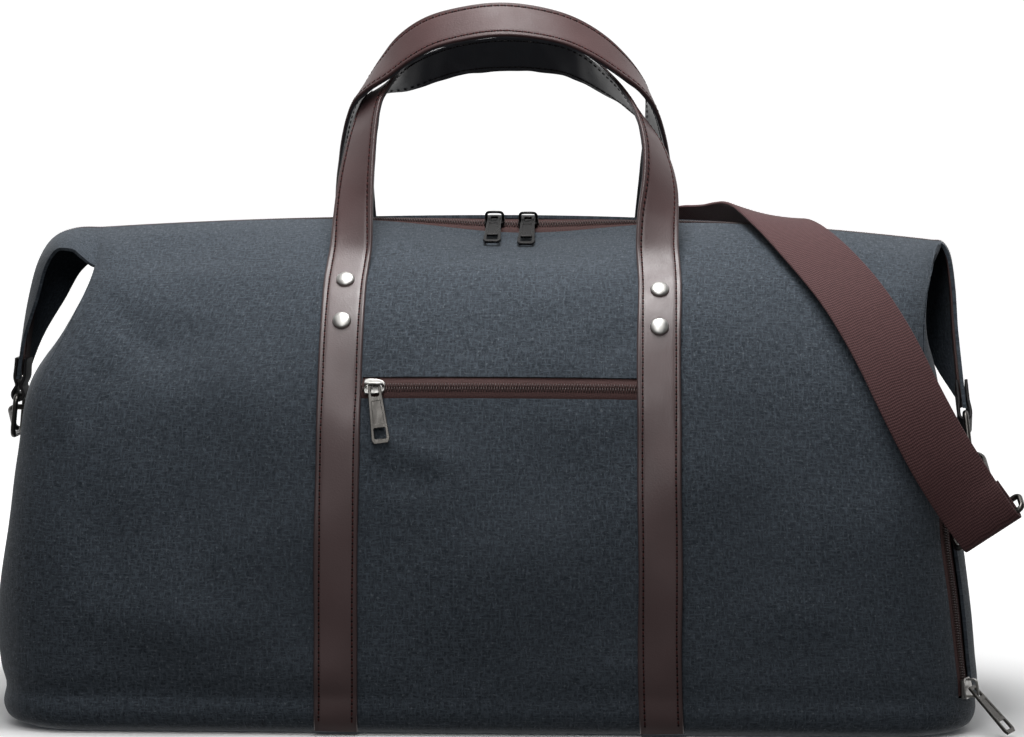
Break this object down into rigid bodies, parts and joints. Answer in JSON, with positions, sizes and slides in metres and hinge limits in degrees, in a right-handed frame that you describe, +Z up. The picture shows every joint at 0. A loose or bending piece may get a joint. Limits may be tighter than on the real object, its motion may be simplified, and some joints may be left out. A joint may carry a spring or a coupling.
{
  "type": "travel bag",
  "caption": "Soft canvas travel holdall with leather strap handles, a zipped top with folded-down wings, a front zip pocket, a zipped end door and a webbing shoulder strap.",
  "frame": {"origin": "middle of the flat underside of the base", "axes": "+X along the bag's length to the end with the zipped door, -Y out of the front with the pocket, +Z up"},
  "size_m": [0.6035, 0.2735, 0.4197],
  "materials": {
    "canvas": "matte slubbed canvas",
    "zip": "woven tape with a nylon coil",
    "leather": "satin",
    "dark_leather": "satin",
    "webbing": "ribbed webbing",
    "nickel": "polished nickel",
    "gunmetal": "dark satin"
  },
  "bodies": {
    "bag": {"front_panel": "canvas", "back_panel": "canvas", "base_panel": "canvas", "left_end_panel": "canvas", "right_end_panel": "canvas", "right_end_door": "canvas", "top_zip": "zip", "pocket_zip": "zip", "end_zip": "zip", "front_handle": "leather", "back_handle": "leather", "left_tab": "dark_leather", "right_tab": "dark_leather", "shoulder_strap": "webbing", "pocket_slider": "nickel", "end_slider": "nickel", "rivet_front_left_upper": "nickel", "rivet_front_left_lower": "nickel", "rivet_front_right_upper": "nickel", "rivet_front_right_lower": "nickel", "rivet_back_left_upper": "nickel", "rivet_back_left_lower": "nickel", "rivet_back_right_upper": "nickel", "rivet_back_right_lower": "nickel", "top_slider_left": "gunmetal", "top_slider_right": "gunmetal", "left_ring": "gunmetal", "right_ring": "gunmetal", "left_hook": "gunmetal", "right_hook": "gunmetal"},
    "top_pull_left": {"top_pull_left": "gunmetal"},
    "top_pull_right": {"top_pull_right": "gunmetal"},
    "pocket_pull": {"pocket_pull": "gunmetal"},
    "end_pull": {"end_pull": "gunmetal"}
  },
  "joints": [
    {"name": "top_pull_left_hinge", "type": "hinge", "parent": "bag", "child": "top_pull_left", "pos_m": [-0.007, -0.00276, 0.29233], "axis": [-1, 0, 0], "range_deg": [0, 28]},
    {"name": "top_pull_right_hinge", "type": "hinge", "parent": "bag", "child": "top_pull_right", "pos_m": [0.013, -0.00287, 0.29194], "axis": [-1, 0, 0], "range_deg": [0, 28]},
    {"name": "pocket_pull_hinge", "type": "hinge", "parent": "bag", "child": "pocket_pull", "pos_m": [-0.06912, -0.11921, 0.20025], "axis": [-0.99, -0.0245, -0.1391], "range_deg": [0, 30]},
    {"name": "end_pull_hinge", "type": "hinge", "parent": "bag", "child": "end_pull", "pos_m": [0.27173, -0.10314, 0.02708], "axis": [-0.5113, -0.8537, -0.0993], "range_deg": [0, 90]}
  ]
}
